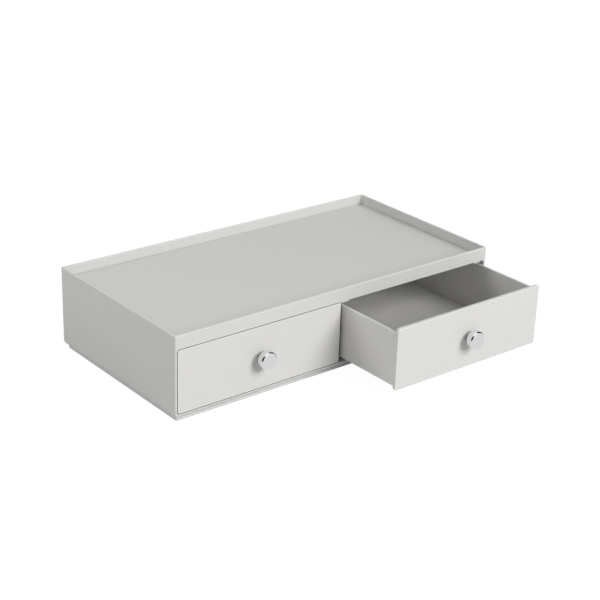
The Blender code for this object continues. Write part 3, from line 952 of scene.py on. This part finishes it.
def patch_shade(graph, way):
    """One, or less where a reflection looks this way into a dark patch."""
    glossy = Number(graph, graph.node("ShaderNodeLightPath").outputs["Is Glossy Ray"])
    lit = 1.0
    for azimuth, elevation, half_width, edge in DARK_PATCHES:
        along = graph.node("ShaderNodeVectorMath", {"operation": "DOT_PRODUCT"},
                           {0: way, 1: toward(azimuth, elevation)})
        patch = graph.node("ShaderNodeMapRange", {"interpolation_type": "SMOOTHSTEP"},
                           {"Value": along.outputs["Value"],
                            "From Min": math.cos(math.radians(half_width + edge)),
                            "From Max": math.cos(math.radians(half_width))})
        lit = lit * (1 - (1 - PATCH_LEVEL) * Number(graph, patch.outputs["Result"]) * glossy)
    return lit


def add_world():
    """Dim light all round, white to the camera, and white with dark patches in the chrome."""
    world = bpy.data.worlds.new("studio")
    world.use_nodes = True
    bpy.context.scene.world = world
    graph = Graph(world.node_tree)
    seen = white_rays(graph)
    lit = patch_shade(graph, graph.node("ShaderNodeTexCoord").outputs["Generated"])
    background = world.node_tree.nodes["Background"]
    graph.feed(background.inputs["Color"], WHITE)
    graph.feed(background.inputs["Strength"], (AMBIENT + (1 - AMBIENT) * seen) * lit)


def floor_material():
    """Pale paint under the lamps, which keeps a soft shadow and looks white to the camera."""
    material = bpy.data.materials.new("pale_floor")
    material.use_nodes = True
    nodes = material.node_tree.nodes
    nodes.remove(nodes["Principled BSDF"])
    graph = Graph(material.node_tree)
    paint = graph.node("ShaderNodeBsdfDiffuse", None, {"Color": FLOOR_PAINT})
    glossy = Number(graph, graph.node("ShaderNodeLightPath").outputs["Is Glossy Ray"])
    place = graph.node("ShaderNodeTexCoord").outputs["Object"]
    eye = Vector((case_middle.x, case_middle.y, PATCH_EYE))
    from_eye = graph.node("ShaderNodeVectorMath", {"operation": "SUBTRACT"}, {0: place, 1: eye})
    way = graph.node("ShaderNodeVectorMath", {"operation": "NORMALIZE"}, {0: from_eye.outputs["Vector"]})
    whiteness = FLOOR_WHITE - (FLOOR_WHITE - FLOOR_REFLECTED) * glossy
    glow = graph.node("ShaderNodeEmission", None,
                      {"Color": WHITE, "Strength": whiteness * patch_shade(graph, way.outputs["Vector"])})
    distance = graph.node("ShaderNodeVectorMath", {"operation": "LENGTH"}, {0: place})
    near = graph.node("ShaderNodeMapRange", None,
                      {"Value": distance.outputs["Value"], "From Min": FLOOR_FADE_START,
                       "From Max": FLOOR_FADE_END, "To Min": 1.0, "To Max": 0.0})
    shading = Number(graph, near.outputs["Result"]) * FLOOR_SHADING
    mixed = graph.node("ShaderNodeMixShader", None,
                       {0: white_rays(graph) * (1 - shading), 1: paint.outputs[0], 2: glow.outputs[0]})
    graph.feed(nodes["Material Output"].inputs["Surface"], mixed.outputs[0])
    return material


def add_floor():
    """A wide flat floor at the height of the pads' undersides."""
    bm = bmesh.new()
    bmesh.ops.create_grid(bm, x_segments=FLOOR_CELLS, y_segments=FLOOR_CELLS, size=FLOOR_SIZE / 2)
    mesh = bpy.data.meshes.new("floor")
    bm.to_mesh(mesh)
    bm.free()
    mesh.materials.append(floor_material())
    new_piece("floor", mesh)


def add_lamp(name, azimuth, elevation, distance, size, power):
    """A round soft lamp that faces the middle of the case and shows in no reflection."""
    lamp = bpy.data.lights.new(name, "AREA")
    lamp.shape = "DISK"
    lamp.size = size
    lamp.energy = power
    thing = bpy.data.objects.new(name, lamp)
    bpy.context.scene.collection.objects.link(thing)
    thing.location = case_middle + toward(azimuth, elevation) * distance
    thing.rotation_euler = (case_middle - thing.location).to_track_quat("-Z", "Y").to_euler()
    thing.visible_glossy = False


def add_camera():
    """The camera of the photograph, laid out from the middle of the case's footprint."""
    roll = math.radians(CAMERA_ROLL)
    back = toward(CAMERA_AZIMUTH, CAMERA_ELEVATION)
    level_right = Vector((0.0, 0.0, 1.0)).cross(back).normalized()
    level_up = back.cross(level_right)
    right = level_right * math.cos(roll) + level_up * math.sin(roll)
    up = level_up * math.cos(roll) - level_right * math.sin(roll)
    camera = bpy.data.cameras.new("camera")
    camera.lens = CAMERA_LENS
    camera.sensor_fit = "HORIZONTAL"
    camera.sensor_width = CAMERA_SENSOR
    thing = bpy.data.objects.new("camera", camera)
    bpy.context.scene.collection.objects.link(thing)
    matrix = Matrix((right, up, back)).transposed().to_4x4()
    base = Vector((case_middle.x, case_middle.y, case_low.z))
    matrix.translation = base + back * CAMERA_DISTANCE + right * CAMERA_RIGHT + up * CAMERA_UP
    thing.matrix_world = matrix
    bpy.context.scene.camera = thing


# The whole

def build_fittings(side_name, knob, screw, zinc):
    """The turned knob of one drawer and the screw that holds it."""
    unit = side_name + "_drawer_unit"
    knob_node, screw_node = side_name + "_knob", side_name + "_knob_screw"
    low, high = node_box[knob_node]
    middle = (low + high) / 2
    chrome = chrome_plating(side_name + "_knob_chrome", middle)
    piece = knob.make(side_name + "_knob_turned", (middle.x, high.y, middle.z), chrome)
    finish_piece(piece, chrome, unit, "chrome", knob_node)
    seat = node_box[screw_node][1].y - SCREW["Head Height"]
    piece = screw.make(side_name + "_screw_turned", (middle.x, seat, middle.z), zinc)
    finish_piece(piece, zinc, unit, "zinc_steel", screw_node)


def build_pads(material):
    """The pads under the corners of the plinth, in one piece."""
    across, along = zip(*pad_places)
    spacing = Vector((max(across) - min(across), max(along) - min(along)))
    pads = pads_shape(spacing).make("anti_slip_pads", (case_middle.x, case_middle.y, 0.0), material)
    finish_piece(pads, material, "case", "pad_rubber", *pad_nodes)


def main():
    """Sets up the camera, the room and the lamps, and then builds each piece."""
    clear_start_scene()
    add_camera()
    add_world()
    add_floor()
    for lamp in LAMPS:
        add_lamp(*lamp)
    bpy.context.scene.view_settings.view_transform = "Standard"

    build_case(satin_plastic("case_satin_plastic", CASE_COLOUR))
    drawer_plastic = satin_plastic("drawer_satin_plastic", DRAWER_COLOUR)
    zinc = zinc_plating("zinc_plating")
    knob, screw = knob_shape(), screw_shape()
    for side_name in ("left", "right"):
        build_drawer(side_name, drawer_plastic)
        build_fittings(side_name, knob, screw, zinc)
    build_pads(soft_rubber("pad_rubber"))


main()
